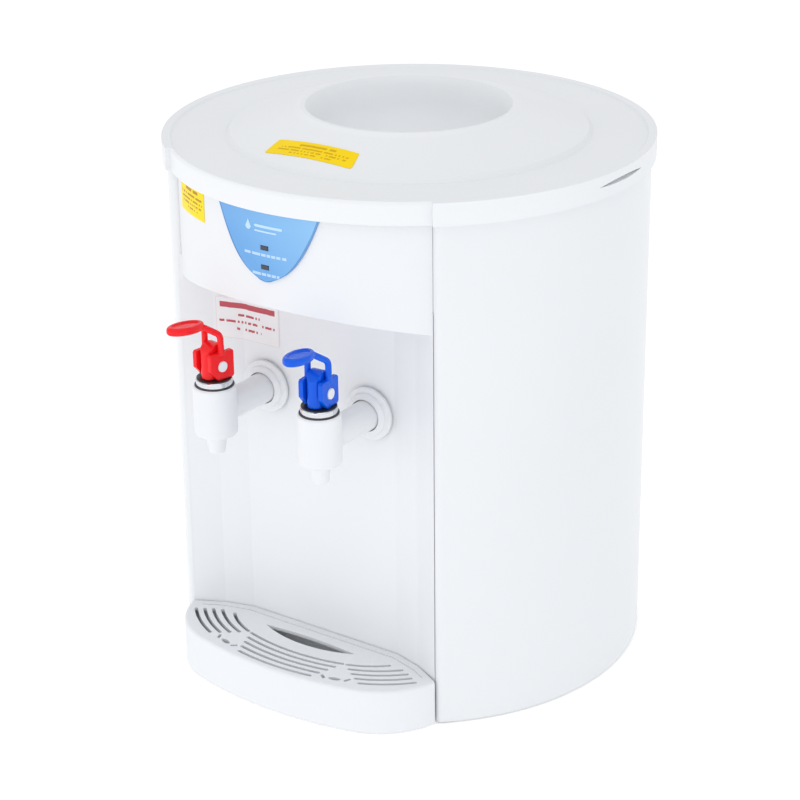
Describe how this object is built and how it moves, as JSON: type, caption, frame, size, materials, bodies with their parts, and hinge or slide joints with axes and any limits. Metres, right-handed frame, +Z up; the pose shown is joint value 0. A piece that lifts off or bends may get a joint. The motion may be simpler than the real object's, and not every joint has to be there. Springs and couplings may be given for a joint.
{
  "type": "countertop water dispenser",
  "caption": "Countertop water dispenser: round painted body, bottle funnel on top, hot and cold lever taps above a slotted drip tray.",
  "frame": {"origin": "on the table under the body axis, at the level of the base's underside", "axes": "+Z up along the body axis, -Y towards the front with the taps, +X to the right of a person facing the taps"},
  "size_m": [0.3, 0.3352, 0.346],
  "materials": {
    "painted_steel": "satin",
    "white_plastic": "glossy",
    "red_plastic": "glossy",
    "blue_plastic": "glossy",
    "chrome": "polished",
    "badge_blue": "glossy",
    "label_yellow": "satin",
    "label_white": "satin",
    "lamp_dark": "glossy",
    "stainless": "brushed",
    "galvanised": "satin",
    "foam": "matte",
    "silicone": "satin",
    "black_plastic": "matte",
    "board_green": "satin",
    "cable_grey": "matte",
    "spring_steel": "bright",
    "natural_plastic": "satin"
  },
  "bodies": {
    "housing": {"baffle": "natural_plastic", "band_heater": "stainless", "base_pan": "natural_plastic", "cold_back_nut": "natural_plastic", "cold_bonnet_ring": "chrome", "cold_hose": "silicone", "cold_return_spring": "spring_steel", "cold_tap_body": "white_plastic", "cold_wall_ring": "white_plastic", "cold_wall_seal": "silicone", "collar_seal": "silicone", "cord_gland": "black_plastic", "drain_hose": "silicone", "drain_outlet": "white_plastic", "feed_hose": "silicone", "front_panel": "white_plastic", "heater_lead": "cable_grey", "heating_lamp_lens": "lamp_dark", "hot_back_nut": "natural_plastic", "hot_bonnet_ring": "chrome", "hot_hose": "silicone", "hot_return_spring": "spring_steel", "hot_tank": "stainless", "hot_tap_body": "white_plastic", "hot_wall_ring": "white_plastic", "hot_wall_seal": "silicone", "indicator_badge": "badge_blue", "lamp_board": "board_green", "lamp_lead": "cable_grey", "ready_lamp_lens": "lamp_dark", "reservoir": "natural_plastic", "reservoir_lid": "natural_plastic", "shelf": "galvanised", "side_shell": "painted_steel", "side_sticker": "label_yellow", "stand_screws": "galvanised", "switch_housing": "black_plastic", "switch_lead": "cable_grey", "tank_jacket": "foam", "tank_stand": "galvanised", "terminal_block": "black_plastic", "thermal_cutout": "black_plastic", "thermostat": "black_plastic", "vent_hose": "silicone", "warning_label": "label_white"},
    "top_cover": {"top_cover": "white_plastic", "bottle_collar": "white_plastic", "deck_sticker": "label_yellow"},
    "drip_tray": {"drip_tray": "white_plastic"},
    "drip_cover": {"drip_cover": "white_plastic"},
    "hot_valve": {"hot_stem": "red_plastic", "hot_valve_plug": "silicone", "hot_hinge_pin": "white_plastic"},
    "hot_lever": {"hot_lever": "red_plastic"},
    "cold_valve": {"cold_stem": "blue_plastic", "cold_valve_plug": "silicone", "cold_hinge_pin": "white_plastic"},
    "cold_lever": {"cold_lever": "blue_plastic"},
    "heater_switch": {"switch_rocker": "red_plastic"},
    "drain_cap": {"drain_cap": "white_plastic"}
  },
  "joints": [
    {"name": "top_cover_lift", "type": "slide", "parent": "housing", "child": "top_cover", "axis": [0, 0, 1], "range_m": [0, 0.06]},
    {"name": "drip_tray_lift", "type": "slide", "parent": "housing", "child": "drip_tray", "axis": [0, 0, 1], "range_m": [0, 0.05]},
    {"name": "drip_cover_lift", "type": "slide", "parent": "drip_tray", "child": "drip_cover", "axis": [0, 0, 1], "range_m": [0, 0.04]},
    {"name": "hot_valve_lift", "type": "slide", "parent": "housing", "child": "hot_valve", "axis": [0, 0, 1], "range_m": [0, 0.0024], "deforming": ["hot_return_spring"]},
    {"name": "hot_lever_press", "type": "hinge", "parent": "hot_valve", "child": "hot_lever", "pos_m": [-0.0385, -0.1475, 0.217], "axis": [0.9877, -0.1564, 0], "range_deg": [0, 24], "stiffness_Nm_per_rad": 0.0263, "springref_deg": -30.02},
    {"name": "cold_valve_lift", "type": "slide", "parent": "housing", "child": "cold_valve", "axis": [0, 0, 1], "range_m": [0, 0.0024], "deforming": ["cold_return_spring"]},
    {"name": "cold_lever_press", "type": "hinge", "parent": "cold_valve", "child": "cold_lever", "pos_m": [0.0385, -0.1475, 0.217], "axis": [0.9945, 0.1045, 0], "range_deg": [0, 24], "stiffness_Nm_per_rad": 0.0263, "springref_deg": -30.02},
    {"name": "heater_switch_rock", "type": "hinge", "parent": "housing", "child": "heater_switch", "pos_m": [-0.05469, 0.13537, 0.062], "axis": [-0.9272, -0.3746, 0], "range_deg": [0, 16]},
    {"name": "drain_cap_pull", "type": "slide", "parent": "housing", "child": "drain_cap", "axis": [0, 1, 0], "range_m": [0, 0.012]}
  ],
  "couplings": [
    {"joint": "hot_lever_press", "follows": "hot_valve_lift", "rad_per_m": 174.53},
    {"joint": "cold_lever_press", "follows": "cold_valve_lift", "rad_per_m": 174.53}
  ]
}
